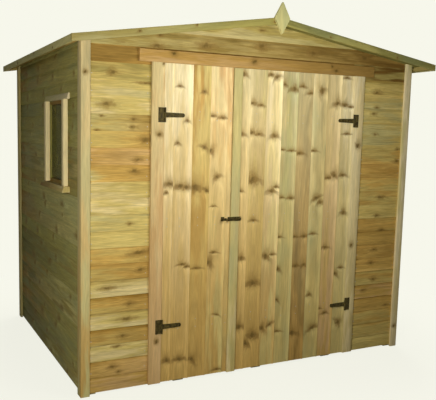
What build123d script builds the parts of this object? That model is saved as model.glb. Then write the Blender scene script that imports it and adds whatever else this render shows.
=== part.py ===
from build123d import *
import os

# Wooden garden shed with a ridged roof and a pair of doors in the front gable.
# Millimetres. +Z is up, the front looks along -Y, and the origin is the middle of the
# footprint at ground level.

# Overall sizes, over the corner trims and the roof edges
width = 2400
depth = 1800
eaves_height = 2035
roof_rise = 201
eaves_overhang = 87
front_overhang = 128
back_overhang = 105

# Timber sections
cladding_t = 12
trim_t = 16
stud_w = 45
stud_d = 38
bearer_w = 70
bearer_h = 45
bearer_count = 5
deck_t = 12
roof_board_t = 12
felt_t = 2.5
edge_board_h = 41
edge_board_lip = 2
eaves_batten_w = 28
ridge_purlin_h = 70
side_purlin_h = 58
side_purlin_x = 609
back_stud_count = 5
side_stud_count = 4
butt_gap = 0.6

# Trims
cladding_clear = 12
corner_front_w = 55
corner_side_w = 70
jamb_trim_w = 80
header_h = 70
header_lap = 78
finial_w = 108
finial_h = 191
finial_drop = 104

# Doorway and door leaves
doorway_w = 1400
door_bottom = 16
door_head_drop = 105
door_clear = 5
lintel_clear = 5
meeting_x = -274.5
meeting_gap = 6
door_board_t = 14
ledge_w = 70
ledge_t = 22
ledge_inset = 32
ledge_low_up = 350
ledge_middle_up = 984
ledge_high_drop = 294
brace_foot = 90
brace_gap = 0.6
cover_strip_w = 60
cover_strip_t = 12
cover_strip_inset = 27.5

# T-hinges, on the lowest and highest ledges
hinge_plate_w = 36
hinge_plate_h = 86
hinge_t = 3
knuckle_r = 5
pin_r = 2.5
pin_clear = 0.1
knuckle_gap = 0.5
knuckle_stand = 0.3
strap_length = 128
strap_root_w = 30
strap_tip_w = 24

# Sliding bolt that holds the two leaves together, drawn back
latch_above_ledge = 7
latch_plate_w = 93
latch_plate_h = 27
latch_plate_t = 2
latch_edge_gap = 4.5
bolt_r = 4
bolt_clear = 0.3
bolt_length = 78
bolt_knob_r = 4.5
bolt_knob_h = 16
bolt_tip_back = 1
bolt_knob_from_plate_end = 51
guide_w = 14
guide_inset = 4
guide_wall = 2.5
keep_w = 23
keep_edge_gap = 6.5

# Window in the left wall
window_w = 402
window_h = 520
window_head_drop = 315
window_centre_y = -326
sash_rail = 30
sash_d = 36
glass_t = 4
glass_bed = 8
glass_clear = 0.3
window_trim_w = 45
window_trim_t = 28
drip_h = 36
drip_t = 34
sill_h = 34
sill_t = 48
window_head_lap = 40

# Planes worked out from the sizes above
half_w = width / 2
half_d = depth / 2
face_x = half_w - trim_t
face_y = half_d - trim_t
inner_x = face_x - cladding_t
inner_y = face_y - cladding_t
room_x = inner_x - stud_d
room_y = inner_y - stud_d
deck_z = bearer_h + deck_t
roof_half = half_w + eaves_overhang
ridge_height = eaves_height + roof_rise
slope = roof_rise / roof_half
roof_under = felt_t + roof_board_t
roof_front = -(half_d + front_overhang)
roof_back = half_d + back_overhang
boards_front = roof_front + trim_t
boards_back = roof_back - trim_t
boards_half = roof_half - trim_t
door_top = eaves_height - door_head_drop
opening_top = door_top + door_clear
ledge_heights = (door_bottom + ledge_low_up, door_bottom + ledge_middle_up, door_top - ledge_high_drop)
latch_height = ledge_heights[1] + latch_above_ledge
half_doorway = doorway_w / 2
ledge_back_y = -(half_d - door_board_t - ledge_t)


def slab(x0, x1, y0, y1, z0, z1):
    """A block between two corners, given in any order on each axis."""
    low = (min(x0, x1), min(y0, y1), min(z0, z1))
    block = Box(abs(x1 - x0), abs(y1 - y0), abs(z1 - z0), align=(Align.MIN, Align.MIN, Align.MIN))
    return Pos(*low) * block


def prism_along_y(points, y0, y1):
    """An outline of (x, z) points carried from y0 to y1."""
    outline = Polyline([(x, y0, z) for x, z in points], close=True)
    return extrude(make_face(outline), amount=y1 - y0, dir=(0, 1, 0))


def roof_z(x, drop=0.0):
    """Height of the roof's top line at x, less a drop measured straight down."""
    return ridge_height - slope * abs(x) - drop


def roof_strip(x0, x1, drop_top, drop_low, y0, y1):
    """A layer that follows one slope of the roof between x0 and x1."""
    points = [
        (x0, roof_z(x0, drop_low)),
        (x1, roof_z(x1, drop_low)),
        (x1, roof_z(x1, drop_top)),
        (x0, roof_z(x0, drop_top)),
    ]
    return prism_along_y(points, y0, y1)


def gable(bottom, y0, y1):
    """A wall end from a level bottom up to both slopes of the roof."""
    points = [
        (-face_x, bottom),
        (face_x, bottom),
        (face_x, roof_z(face_x, roof_under)),
        (0, roof_z(0, roof_under)),
        (-face_x, roof_z(face_x, roof_under)),
    ]
    return prism_along_y(points, y0, y1)


def side_wall(side):
    """Side cladding, its top edge bevelled to the roof."""
    points = [
        (side * inner_x, cladding_clear),
        (side * face_x, cladding_clear),
        (side * face_x, roof_z(face_x, roof_under)),
        (side * inner_x, roof_z(inner_x, roof_under)),
    ]
    return prism_along_y(points, -inner_y, inner_y)


def save(name, *solids):
    """Write one node: a single solid, or several that don't touch."""
    shape = solids[0] if len(solids) == 1 else Compound(children=list(solids))
    export_step(shape, f"parts/{name}.step")


os.makedirs("parts", exist_ok=True)

# Floor: bearers run front to back under a boarded deck
bearer_step = (2 * inner_x - bearer_w) / (bearer_count - 1)
bearers = []
for n in range(bearer_count):
    left = -inner_x + n * bearer_step
    bearers.append(slab(left, left + bearer_w, -inner_y, inner_y, 0, bearer_h))
save("floor_bearers", *bearers)
save("floor_deck", slab(-inner_x, inner_x, -inner_y, inner_y, bearer_h, deck_z))

# Wall frames: sole plates on the deck, studs on them, top plates under the roof
sole_top = deck_z + stud_w
plate_low = opening_top + lintel_clear
plate_top = plate_low + stud_w
jamb_stud_x = half_doorway + door_clear
side_end_y = room_y - butt_gap
save(
    "sole_plates",
    slab(-inner_x, -jamb_stud_x, -inner_y, -room_y, deck_z, sole_top),
    slab(jamb_stud_x, inner_x, -inner_y, -room_y, deck_z, sole_top),
    slab(-inner_x, inner_x, room_y, inner_y, deck_z, sole_top),
    slab(-inner_x, -room_x, -side_end_y, side_end_y, deck_z, sole_top),
    slab(room_x, inner_x, -side_end_y, side_end_y, deck_z, sole_top),
)


def side_top_plate(side):
    """Top plate of a side wall, its upper face on the roof boards."""
    low = roof_z(inner_x, roof_under) - stud_w
    points = [
        (side * room_x, low),
        (side * inner_x, low),
        (side * inner_x, roof_z(inner_x, roof_under)),
        (side * room_x, roof_z(room_x, roof_under)),
    ]
    return prism_along_y(points, -side_end_y, side_end_y)


side_plate_low = roof_z(inner_x, roof_under) - stud_w
save(
    "top_plates",
    slab(-inner_x, inner_x, -inner_y, -room_y, plate_low, plate_top),
    slab(-inner_x, inner_x, room_y, inner_y, plate_low, plate_top),
    side_top_plate(-1),
    side_top_plate(1),
)

ridge_purlin_low = roof_z(stud_w / 2, roof_under) - ridge_purlin_h
side_purlin_low = roof_z(side_purlin_x + stud_w / 2, roof_under) - side_purlin_h


def end_studs(y_out, y_in, xs):
    """Studs of a front or back wall, and the posts over it that carry the purlins."""
    studs = [slab(x, x + stud_w, y_out, y_in, sole_top, plate_low) for x in xs]
    posts = ((-side_purlin_x, side_purlin_low), (0, ridge_purlin_low), (side_purlin_x, side_purlin_low))
    for x, top in posts:
        studs.append(slab(x - stud_w / 2, x + stud_w / 2, y_out, y_in, plate_top, top))
    return studs


front_stud_xs = (-inner_x, -jamb_stud_x - stud_w, jamb_stud_x, inner_x - stud_w)
back_stud_step = (2 * inner_x - stud_w) / (back_stud_count - 1)
back_stud_xs = [-inner_x + n * back_stud_step for n in range(back_stud_count)]
save("front_wall_studs", *end_studs(-inner_y, -room_y, front_stud_xs))
save("back_wall_studs", *end_studs(room_y, inner_y, back_stud_xs))

window_front = window_centre_y - window_w / 2
window_back = window_centre_y + window_w / 2
window_top = eaves_height - window_head_drop
window_sill_height = window_top - window_h
left_stud_ys = (-side_end_y, window_front - stud_w, window_back, side_end_y - stud_w)
side_stud_step = (2 * side_end_y - stud_w) / (side_stud_count - 1)
right_stud_ys = [-side_end_y + n * side_stud_step for n in range(side_stud_count)]
save(
    "left_wall_studs",
    *[slab(-inner_x, -room_x, y, y + stud_w, sole_top, side_plate_low) for y in left_stud_ys],
)
save(
    "right_wall_studs",
    *[slab(room_x, inner_x, y, y + stud_w, sole_top, side_plate_low) for y in right_stud_ys],
)
save(
    "window_noggins",
    slab(-inner_x, -room_x, window_front, window_back, window_sill_height - stud_w, window_sill_height),
    slab(-inner_x, -room_x, window_front, window_back, window_top, window_top + stud_w),
)

# Cladding: the front is split beside and over the doorway
save("front_cladding_left", slab(-face_x, -half_doorway, -face_y, -inner_y, cladding_clear, opening_top))
save("front_cladding_right", slab(half_doorway, face_x, -face_y, -inner_y, cladding_clear, opening_top))
save("front_gable_cladding", gable(opening_top, -face_y, -inner_y))
save("back_wall_cladding", gable(cladding_clear, inner_y, face_y))
window_hole = slab(-face_x, -inner_x, window_front, window_back, window_sill_height, window_top)
save("left_wall_cladding", side_wall(-1) - window_hole)
save("right_wall_cladding", side_wall(1))

# Roof: purlins between the gables, battens along the eaves, boards, then felt
purlins = [
    prism_along_y(
        [
            (-stud_w / 2, ridge_purlin_low),
            (stud_w / 2, ridge_purlin_low),
            (stud_w / 2, roof_z(stud_w / 2, roof_under)),
            (0, roof_z(0, roof_under)),
            (-stud_w / 2, roof_z(stud_w / 2, roof_under)),
        ],
        -inner_y,
        inner_y,
    )
]
eaves_batten_drop = edge_board_h - edge_board_lip
for side in (-1, 1):
    near = side * (side_purlin_x - stud_w / 2)
    far = side * (side_purlin_x + stud_w / 2)
    points = [
        (near, side_purlin_low),
        (far, side_purlin_low),
        (far, roof_z(far, roof_under)),
        (near, roof_z(near, roof_under)),
    ]
    purlins.append(prism_along_y(points, -inner_y, inner_y))
    batten_in = side * (boards_half - eaves_batten_w)
    batten_out = side * boards_half
    purlins.append(
        roof_strip(batten_in, batten_out, roof_under, eaves_batten_drop, boards_front, boards_back)
    )
save("roof_purlins", *purlins)
save("roof_boards_left", roof_strip(-boards_half, 0, felt_t, roof_under, boards_front, boards_back))
save("roof_boards_right", roof_strip(0, boards_half, felt_t, roof_under, boards_front, boards_back))
felt_points = [
    (-boards_half, roof_z(boards_half, felt_t)),
    (0, roof_z(0, felt_t)),
    (boards_half, roof_z(boards_half, felt_t)),
    (boards_half, roof_z(boards_half)),
    (0, roof_z(0)),
    (-boards_half, roof_z(boards_half)),
]
save("roof_felt", prism_along_y(felt_points, boards_front, boards_back))
save(
    "eaves_fascias",
    roof_strip(-roof_half, -boards_half, 0, edge_board_h, boards_front, boards_back),
    roof_strip(boards_half, roof_half, 0, edge_board_h, boards_front, boards_back),
)
save("front_left_bargeboard", roof_strip(-roof_half, 0, 0, edge_board_h, roof_front, boards_front))
save("front_right_bargeboard", roof_strip(0, roof_half, 0, edge_board_h, roof_front, boards_front))
save("back_left_bargeboard", roof_strip(-roof_half, 0, 0, edge_board_h, boards_back, roof_back))
save("back_right_bargeboard", roof_strip(0, roof_half, 0, edge_board_h, boards_back, roof_back))

finial_low = ridge_height - finial_drop
finial_points = [
    (0, finial_low),
    (finial_w / 2, finial_low + finial_h / 2),
    (0, finial_low + finial_h),
    (-finial_w / 2, finial_low + finial_h / 2),
]
save("finial", prism_along_y(finial_points, roof_front - trim_t, roof_front))


def corner_trim(side, end):
    """An L of two boards round a corner, from the ground up to the roof boards."""
    top = roof_z(0)
    front = slab(side * half_w, side * (half_w - corner_front_w), end * half_d, end * face_y, 0, top)
    flank = slab(side * half_w, side * face_x, end * half_d, end * (half_d - corner_side_w), 0, top)
    near = half_w - corner_front_w
    points = [
        (side * near, 0),
        (side * half_w, 0),
        (side * half_w, roof_z(half_w, roof_under)),
        (side * near, roof_z(near, roof_under)),
    ]
    return (front + flank) & prism_along_y(points, -half_d, half_d)


save("front_corner_trims", corner_trim(-1, -1), corner_trim(1, -1))
save("back_corner_trims", corner_trim(-1, 1), corner_trim(1, 1))

jamb_out = half_doorway + jamb_trim_w
save("left_jamb_trim", slab(-jamb_out, -half_doorway, -half_d, -face_y, cladding_clear, opening_top))
save("right_jamb_trim", slab(half_doorway, jamb_out, -half_d, -face_y, cladding_clear, opening_top))
header_x = jamb_out + header_lap
save("header_trim", slab(-header_x, header_x, -half_d, -face_y, opening_top, opening_top + header_h))

# Window: a glazed sash in the hole, trimmed outside by battens, a drip and a sill
sash_in_x = sash_d - face_x
sash = slab(-face_x, sash_in_x, window_front, window_back, window_sill_height, window_top)
sash -= slab(
    -face_x,
    sash_in_x,
    window_front + sash_rail,
    window_back - sash_rail,
    window_sill_height + sash_rail,
    window_top - sash_rail,
)
bed_edge = sash_rail - glass_bed
bed_x = -face_x + cladding_t
sash -= slab(
    -face_x,
    bed_x,
    window_front + bed_edge,
    window_back - bed_edge,
    window_sill_height + bed_edge,
    window_top - bed_edge,
)
save("window_frame", sash)
glass_edge = bed_edge + glass_clear
save(
    "window_glass",
    slab(
        bed_x - glass_t,
        bed_x,
        window_front + glass_edge,
        window_back - glass_edge,
        window_sill_height + glass_edge,
        window_top - glass_edge,
    ),
)
trim_out_x = -face_x - window_trim_t
trim_front = window_front - window_trim_w
trim_back = window_back + window_trim_w
save(
    "window_trim",
    slab(trim_out_x, -face_x, trim_front, window_front, window_sill_height, window_top),
    slab(trim_out_x, -face_x, window_back, trim_back, window_sill_height, window_top),
)
head_front = trim_front - window_head_lap
head_back = trim_back + window_head_lap
save("window_drip", slab(-face_x - drip_t, -face_x, head_front, head_back, window_top, window_top + drip_h))
sill_low = window_sill_height - sill_h
save("window_sill", slab(-face_x - sill_t, -face_x, head_front, head_back, sill_low, window_sill_height))

# Door leaves: boards in the plane of the trims, ledges and braces behind
hinge_axis_x = half_doorway - door_clear / 2
hinge_axis_y = -half_d - knuckle_r - knuckle_stand
left_leaf = (-half_doorway + door_clear, meeting_x - meeting_gap / 2)
right_leaf = (half_doorway - door_clear, meeting_x + meeting_gap / 2)


def leaf_boards(hinge_x, free_x):
    return slab(hinge_x, free_x, -half_d, -half_d + door_board_t, door_bottom, door_top)


def leaf_ledges(hinge_x, free_x):
    """Three level ledges, with a brace rising from the hinge side between each two."""
    toward = 1 if free_x > hinge_x else -1
    foot = hinge_x + toward * ledge_inset
    head = free_x - toward * ledge_inset
    back = -half_d + door_board_t
    pieces = []
    for z in ledge_heights:
        pieces.append(slab(foot, head, back, ledge_back_y, z - ledge_w / 2, z + ledge_w / 2))
    for low, high in zip(ledge_heights, ledge_heights[1:]):
        z0 = low + ledge_w / 2 + brace_gap
        z1 = high - ledge_w / 2 - brace_gap
        points = [(foot, z0), (foot + toward * brace_foot, z0), (head, z1), (head - toward * brace_foot, z1)]
        pieces.append(prism_along_y(points, back, ledge_back_y))
    return pieces


save("left_door_boards", leaf_boards(*left_leaf))
save("left_door_ledges", *leaf_ledges(*left_leaf))
save("right_door_boards", leaf_boards(*right_leaf))
save("right_door_ledges", *leaf_ledges(*right_leaf))

strip_left = right_leaf[1] + cover_strip_inset
strip_face = -half_d - cover_strip_t
save(
    "door_cover_strip",
    slab(strip_left, strip_left + cover_strip_w, strip_face, -half_d, door_bottom, door_top),
)

# T-hinges: a plate with two knuckles and the pin on the jamb, a strap on the leaf
strap_half = strap_root_w / 2
hinge_back_y = -half_d
hinge_face_y = -half_d - hinge_t


def knuckle(side, z0, z1, radius):
    return Pos(side * hinge_axis_x, hinge_axis_y, z0) * Cylinder(
        radius, z1 - z0, align=(Align.CENTER, Align.CENTER, Align.MIN)
    )


def hinge_plate(side, z):
    half_h = hinge_plate_h / 2
    inner = side * (hinge_axis_x + knuckle_r + knuckle_gap)
    outer = side * (hinge_axis_x + knuckle_r + hinge_plate_w)
    plate = slab(inner, outer, hinge_back_y, hinge_face_y, z - half_h, z + half_h)
    for z0, z1 in ((z - half_h, z - strap_half - knuckle_gap), (z + strap_half + knuckle_gap, z + half_h)):
        plate += slab(side * hinge_axis_x, inner, hinge_back_y, hinge_face_y, z0, z1)
        plate += knuckle(side, z0, z1, knuckle_r)
    return plate + knuckle(side, z - half_h, z + half_h, pin_r)


def hinge_strap(side, z):
    """A tapered strap with a rounded tip and one knuckle round the pin."""
    root_x = side * hinge_axis_x
    tip_x = side * (hinge_axis_x - strap_length + strap_tip_w / 2)
    points = [
        (root_x, z - strap_half),
        (tip_x, z - strap_tip_w / 2),
        (tip_x, z + strap_tip_w / 2),
        (root_x, z + strap_half),
    ]
    strap = prism_along_y(points, hinge_face_y, hinge_back_y)
    tip = Cylinder(strap_tip_w / 2, hinge_t, rotation=(90, 0, 0))
    strap += Pos(tip_x, (hinge_face_y + hinge_back_y) / 2, z) * tip
    strap += knuckle(side, z - strap_half, z + strap_half, knuckle_r)
    return strap - knuckle(side, z - strap_half, z + strap_half, pin_r + pin_clear)


hinge_heights = (ledge_heights[0], ledge_heights[-1])
save("hinge_plates", *[hinge_plate(side, z) for side in (-1, 1) for z in hinge_heights])
save("left_door_straps", *[hinge_strap(-1, z) for z in hinge_heights])
save("right_door_straps", *[hinge_strap(1, z) for z in hinge_heights])

# Bolt: a plate with two guides on the cover strip, the rod in them, a keep on the left leaf
latch_left = right_leaf[1] + latch_edge_gap
latch_right = latch_left + latch_plate_w
plate_face = strip_face - latch_plate_t
guide_r = bolt_r + bolt_clear + guide_wall
bolt_y = plate_face - bolt_r - guide_wall
latch_low = latch_height - latch_plate_h / 2
latch_high = latch_height + latch_plate_h / 2


def rod_along_x(x0, x1, radius):
    middle = (x0 + x1) / 2
    return Pos(middle, bolt_y, latch_height) * Cylinder(radius, abs(x1 - x0), rotation=(0, 90, 0))


latch_plate = slab(latch_left, latch_right, plate_face, strip_face, latch_low, latch_high)
for x0 in (latch_left + guide_inset, latch_right - guide_inset - guide_w):
    x1 = x0 + guide_w
    latch_plate += rod_along_x(x0, x1, guide_r)
    latch_plate += slab(x0, x1, bolt_y, plate_face, latch_height - guide_r, latch_height + guide_r)
latch_plate -= rod_along_x(latch_left, latch_right, bolt_r + bolt_clear)
save("latch_plate", latch_plate)

bolt_tip_x = latch_left + bolt_tip_back
bolt = rod_along_x(bolt_tip_x, bolt_tip_x + bolt_length, bolt_r)
knob = Cylinder(bolt_knob_r, bolt_knob_h, rotation=(90, 0, 0))
bolt += Pos(latch_left + bolt_knob_from_plate_end, bolt_y - bolt_knob_h / 2, latch_height) * knob
save("latch_bolt", bolt)

keep_right = left_leaf[1] - keep_edge_gap
keep_left = keep_right - keep_w
keep_out_y = bolt_y - bolt_r - bolt_clear - guide_wall
keep = slab(keep_left, keep_right, -half_d - latch_plate_t, -half_d, latch_low, latch_high)
keep += slab(keep_left, keep_right, keep_out_y, -half_d, latch_height - guide_r, latch_height + guide_r)
slot = bolt_r + bolt_clear
keep -= slab(
    keep_left,
    keep_right,
    bolt_y - slot,
    -half_d - latch_plate_t,
    latch_height - slot,
    latch_height + slot,
)
save("latch_keep", keep)
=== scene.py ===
import math

import bpy
import numpy as np
from mathutils import Matrix, Vector


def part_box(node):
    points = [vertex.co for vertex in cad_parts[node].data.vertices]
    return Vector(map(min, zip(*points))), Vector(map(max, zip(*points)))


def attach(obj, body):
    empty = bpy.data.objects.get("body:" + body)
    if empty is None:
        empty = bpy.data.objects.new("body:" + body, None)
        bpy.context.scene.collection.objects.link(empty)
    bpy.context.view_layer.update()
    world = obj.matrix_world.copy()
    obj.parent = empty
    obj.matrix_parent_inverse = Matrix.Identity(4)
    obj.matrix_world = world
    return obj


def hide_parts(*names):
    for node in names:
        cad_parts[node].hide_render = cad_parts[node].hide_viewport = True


# Wooden garden shed. Metres, in the CAD's frame: +Z is up and the doors look along -Y.

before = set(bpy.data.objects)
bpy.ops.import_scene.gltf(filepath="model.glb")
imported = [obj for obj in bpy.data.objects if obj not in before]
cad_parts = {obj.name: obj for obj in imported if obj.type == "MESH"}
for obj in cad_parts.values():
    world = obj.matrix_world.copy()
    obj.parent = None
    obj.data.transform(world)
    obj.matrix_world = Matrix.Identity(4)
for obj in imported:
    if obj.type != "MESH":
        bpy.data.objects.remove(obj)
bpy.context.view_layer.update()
rng = np.random.default_rng(7)
MM = 0.001
X, Y, Z = np.eye(3)


def cad(node):
    """Lowest and highest corner of a CAD node, as two rows."""
    return np.array([list(corner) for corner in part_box(node)])


def linear(hex_colour):
    """sRGB hex to linear red, green and blue."""
    c = np.array([int(hex_colour[i : i + 2], 16) for i in (0, 2, 4)]) / 255
    return np.where(c <= 0.04045, c / 12.92, ((c + 0.055) / 1.055) ** 2.4)


def rgba(hex_colour):
    """sRGB hex to a colour for a shader's socket."""
    return (*linear(hex_colour), 1.0)


def add(tree, kind, *inputs, named=None, **settings):
    """Adds a shader node. Settings come first, then each input in turn takes a value or a link; None leaves
    an input as it is, and named gives inputs by name."""
    made = tree.nodes.new("ShaderNode" + kind)
    for name, value in settings.items():
        setattr(made, name, value)
    pairs = list(zip([s for s in made.inputs if s.enabled], inputs))
    pairs += [(made.inputs[name], value) for name, value in (named or {}).items()]
    for socket, value in pairs:
        if isinstance(value, bpy.types.Node):
            value = next(s for s in value.outputs if s.enabled)
        if isinstance(value, bpy.types.NodeSocket):
            tree.links.new(value, socket)
        elif value is not None:
            socket.default_value = value
    return made


SMOOTH = {"interpolation_type": "SMOOTHSTEP"}
TIMES = {"operation": "MULTIPLY"}
TIMES_ADD = {"operation": "MULTIPLY_ADD"}
COLOUR = {"data_type": "RGBA"}


def new_material(name):
    """An empty material and its node tree."""
    material = bpy.data.materials.new(name)
    material.use_nodes = True
    material.node_tree.nodes.clear()
    return material, material.node_tree


# --- Camera: left of the doors at eye height, looking a little down ---
camera_data = bpy.data.cameras.new("view")
camera_data.lens = 52.06
camera_data.shift_x = 0.0754
camera_data.shift_y = 0.0136
camera = bpy.data.objects.new("view", camera_data)
bpy.context.scene.collection.objects.link(camera)
bpy.context.scene.camera = camera
yaw, pitch, roll = 0.449, -0.1155, 0.020
turn = Matrix.Rotation(-yaw, 4, "Z") @ Matrix.Rotation(math.pi / 2 + pitch, 4, "X")
turn @= Matrix.Rotation(roll, 4, "Z")
camera.matrix_world = Matrix.Translation((-2.1905, -4.2939, 1.5347)) @ turn

# --- Meshes ---


def ring_faces(rows, n):
    """Corner numbers of a tube's faces, where rows rings of n points each are joined in order."""
    i, j = np.meshgrid(np.arange(rows - 1), np.arange(n), indexing="ij")
    k = (j + 1) % n
    return np.stack([i * n + j, i * n + k, (i + 1) * n + k, (i + 1) * n + j], -1)


def build(name, tubes, body, material, *nodes, slot=None, smooth=35, points=None, corners=None):
    """One mesh of closed tubes, each a grid of rings by points with a face over each end.
    A ring runs anticlockwise seen from the tube's far end, so faces point outwards."""
    loops, sizes, count = [], [], 0
    for tube in tubes:
        rows, n = tube.shape[:2]
        ends = np.array([np.arange(n)[::-1], (rows - 1) * n + np.arange(n)])
        loops += [ring_faces(rows, n).reshape(-1) + count, ends.reshape(-1) + count]
        sizes += [np.full((rows - 1) * n, 4), np.full(2, n)]
        count += rows * n
    loops, sizes = np.concatenate(loops), np.concatenate(sizes)
    mesh = bpy.data.meshes.new(name)
    mesh.vertices.add(count)
    mesh.vertices.foreach_set("co", np.concatenate([t.reshape(-1) for t in tubes]).astype(np.float32))
    mesh.loops.add(len(loops))
    mesh.loops.foreach_set("vertex_index", loops.astype(np.int32))
    mesh.polygons.add(len(sizes))
    mesh.polygons.foreach_set("loop_start", (sizes.cumsum() - sizes).astype(np.int32))
    mesh.update(calc_edges=True)
    for domain, layers in (("POINT", points), ("CORNER", corners)):
        for label, values in (layers or {}).items():
            values = np.concatenate(values)
            kind, key = ("FLOAT_COLOR", "color") if values.shape[1] == 4 else ("FLOAT_VECTOR", "vector")
            mesh.attributes.new(label, kind, domain).data.foreach_set(key, values.astype(np.float32).ravel())
    mesh.shade_smooth()
    mesh.set_sharp_from_angle(angle=math.radians(smooth))
    mesh.materials.append(material)
    piece = bpy.data.objects.new(name, mesh)
    bpy.context.scene.collection.objects.link(piece)
    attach(piece, body)
    if nodes:
        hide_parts(*nodes)
    return piece


def turned(place, axis, heights, radii, sides=8):
    """A turned shape: rings of the given radii stand at the given heights along an axis."""
    axis = np.asarray(axis, float)
    side = np.cross(axis, X if abs(axis[0]) < 0.9 else Y)
    side /= np.linalg.norm(side)
    angle = np.linspace(0, 2 * np.pi, sides, endpoint=False)
    ring = np.cos(angle)[:, None] * side + np.sin(angle)[:, None] * np.cross(axis, side)
    return np.asarray(place) + np.array(heights)[:, None, None] * axis + np.array(radii)[:, None, None] * ring


# --- Sections of timber: anticlockwise outlines of (across, depth), with the face at depth 0 ---


def eased(outline, ease=2 * MM):
    """Rounds an outline's corners: each becomes a point on either side of it and one halfway out to it."""
    outline = np.asarray(outline, float)
    sides = [np.roll(outline, shift, 0) - outline for shift in (1, -1)]
    before, after = (outline + ease * s / np.linalg.norm(s, axis=1, keepdims=True) for s in sides)
    return np.stack([before, (before + 2 * outline + after) / 4, after], 1).reshape(-1, 2)


def batten(width, depth, ease=2 * MM):
    """A plain rectangle with eased edges."""
    return eased([(0, 0), (width, 0), (width, depth), (0, depth)], ease)


def lapped(pitch, depth, rise, sink, lip=1.5 * MM):
    """A door board's face: a flat that lies sink deep, then a hollow that rises as a quarter cosine to a
    proud rounded edge."""
    flat, hollow = np.linspace(0, pitch - rise, 4)[:-1], np.linspace(pitch - rise, pitch - lip, 7)
    turned_in = np.array([0.4, 0.8, 1.0])
    across = np.concatenate([flat, hollow, pitch - lip + lip * turned_in])
    share = np.clip((across - (pitch - rise)) / rise, 0, 1)
    rounding = lip * np.concatenate([np.zeros(len(flat) + len(hollow)), 1 - np.sqrt(1 - turned_in**2)])
    face = np.column_stack([across, sink * np.cos(share * np.pi / 2) + rounding])
    return np.concatenate([face, [(pitch, depth), (0, depth)]])


def shiplap(pitch, depth, scoop, sink, low=0.0, high=9.0, lip=1.5 * MM):
    """A board's face: a lip rounded as a quarter circle, a flat, then a scoop that sinks as a quarter sine to
    the next joint. low and high cut the board lengthwise."""
    flat, hollow = np.linspace(lip, pitch - scoop, 4), np.linspace(pitch - scoop, pitch, 7)
    across = np.unique(np.clip([0, 0.3 * MM, 0.8 * MM, lip, *flat, *hollow], low, min(high, pitch)))
    rounding = lip - np.sqrt(lip**2 - np.maximum(lip - across, 0) ** 2)
    share = np.clip((across - (pitch - scoop)) / scoop, 0, 1)
    face = np.column_stack([across, rounding + sink * np.sin(share * np.pi / 2)])
    return np.concatenate([face, [(across[-1], depth), (across[0], depth)]])


# --- Timber ---

# Colours of planed, pressure-treated redwood
TONES = {
    "p": "f9e4a8", "k": "e3d2a2", "c": "dac58c",  # new sapwood, pale sapwood, cream
    "s": "cbb56e", "w": "c2aa64", "h": "c19d55",  # straw, wheat, honey
    "r": "caa56c", "t": "b7914c", "d": "bfae7c",  # rose, tan, drab
    "g": "b9ab71", "o": "a89657", "b": "93743a",  # sage, olive, bark
    "u": "775929", "m": "b0a561", "l": "c8bd7c",  # umber, moss, lichen
    "n": "988f4c", "f": "77713c", "v": "5f5b2e",  # dark moss, shadow moss, deep shadow moss: the last two paint shade on the left wall and under the front eaves
}
# Distance in radii to the nearest knot where there is none
FAR = 99.0


def stick(
    origin, along, across, inward, start, end, section, tone, knots=(), pith=None, stain=0.0, edge=(0, 0),
    order=(1, 2, 0), fade=1.5,
):
    """A piece of timber: its section at origin, carried along from start to end. Either end may be a function
    of (across, depth) where it is cut on a slope.
    tone is two letters of TONES, the main colour and its streaks, or four: two at the start and two at the
    end, where a fade above 1 keeps the start's colours for longer. A knot is (along, across, radius, stretch,
    tilt in degrees), and the last two may be left out. stain is how green the wood is, and edge how much
    darker its long edges are, painted shade, below zero paler, a painted highlight: two values, or two at
    the start and two at the end.
    order says which of the three ways are the log's width, depth and length."""
    pith = pith or (rng.uniform(-0.02, 0.11), rng.uniform(0.015, 0.06))
    return dict(
        origin=np.asarray(origin, float), axes=np.array([along, across, inward], float), ends=(start, end),
        section=np.asarray(section, float), tone=tone, fade=fade, stain=stain, edge=edge, order=list(order),
        knots=sorted((*k, *(1.5, 0)[len(k) - 3 :]) for k in knots), pith=pith,
        log=rng.uniform(0, 40), light=rng.normal(1, 0.025),
    )


def knot_places(knots, middles, u, w):
    """Where each corner lies from the knot nearest its face: along and across in knot radii, turned by the
    knot's tilt."""
    if not knots:
        return np.full((*u.shape, 3), FAR)
    table = np.array(knots)
    near = table[np.abs(table[:, 0] - middles[:, None]).argmin(1)]
    at, side, radius, stretch, tilt = (near[:, n].reshape(-1, 1, 1) for n in range(5))
    du, dw, angle = u - at, w - side, np.radians(tilt)
    long, wide = du * np.cos(angle) + dw * np.sin(angle), dw * np.cos(angle) - du * np.sin(angle)
    return np.stack([long / (radius * stretch), wide / radius, np.zeros_like(u)], -1)


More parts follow.
